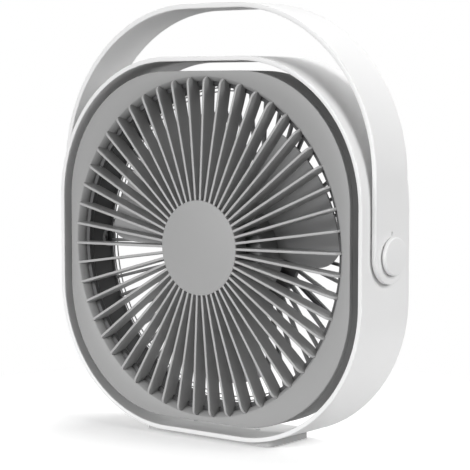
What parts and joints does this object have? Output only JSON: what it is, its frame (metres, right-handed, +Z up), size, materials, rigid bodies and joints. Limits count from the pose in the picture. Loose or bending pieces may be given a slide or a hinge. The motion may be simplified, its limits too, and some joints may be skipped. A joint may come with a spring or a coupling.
{
  "type": "desk box fan",
  "caption": "Round-cornered desk box fan: an outer band on a low foot, a tilting fan core with radial fin grilles, a swinging hoop handle and a side speed knob.",
  "frame": {"origin": "On the table, under the middle of the whole depth and width; the fan axis is 92 mm above it.", "axes": "+Z is up, the front grille faces -Y, +X is the speed-knob side."},
  "size_m": [0.1948, 0.0408, 0.2072],
  "materials": {
    "white_shell": "smooth satin white plastic",
    "core_grey": "fine-grained mid grey plastic",
    "hub_grey": "smooth grey plastic disc",
    "impeller_grey": "smooth darker grey plastic",
    "foot_rubber": "matte grey rubber",
    "steel": "plain zinc-plated steel",
    "copper_winding": "copper windings on a steel core",
    "magnet_dark": "dark bonded magnet",
    "board_green": "green circuit board",
    "lead_black": "black wire jacket",
    "black_plastic": "black moulded plastic"
  },
  "bodies": {
    "base": {"outer_band": "white_shell", "foot_bar": "foot_rubber", "foot_screw_1": "steel", "foot_screw_2": "steel"},
    "core": {"core_ring": "core_grey", "front_grille": "core_grey", "hub_cap": "hub_grey", "rear_grille": "core_grey", "case_screw_1": "steel", "case_screw_2": "steel", "case_screw_3": "steel", "case_screw_4": "steel", "motor_base": "steel", "motor_screw_1": "steel", "motor_screw_2": "steel", "motor_screw_3": "steel", "bearing_front": "steel", "bearing_rear": "steel", "stator": "copper_winding", "control_board": "board_green", "usb_socket": "steel", "motor_lead": "lead_black", "pivot_axle_right": "steel", "pivot_axle_left": "steel", "spacer_right": "black_plastic", "spacer_left": "black_plastic", "rotary_switch": "black_plastic", "pivot_cap_left": "white_shell", "pivot_screw_left": "steel"},
    "handle_body": {"handle": "white_shell"},
    "rotor": {"impeller": "impeller_grey", "motor_shaft": "steel", "shaft_clip": "steel", "magnet_ring": "magnet_dark", "rotor_ring": "steel"},
    "knob": {"speed_knob": "white_shell"}
  },
  "joints": [
    {"name": "core_tilt", "type": "hinge", "parent": "base", "child": "core", "pos_m": [0, 0.00118, 0.092], "axis": [1, 0, 0], "range_deg": [-90, 90]},
    {"name": "handle_swing", "type": "hinge", "parent": "base", "child": "handle_body", "pos_m": [0, 0.00118, 0.092], "axis": [1, 0, 0], "range_deg": [-120, 120]},
    {"name": "fan_spin", "type": "hinge", "parent": "core", "child": "rotor", "pos_m": [0, 0.00118, 0.092], "axis": [0, 1, 0], "continuous": true},
    {"name": "knob_turn", "type": "hinge", "parent": "core", "child": "knob", "pos_m": [0, 0.00118, 0.092], "axis": [1, 0, 0], "range_deg": [0, 270]}
  ]
}
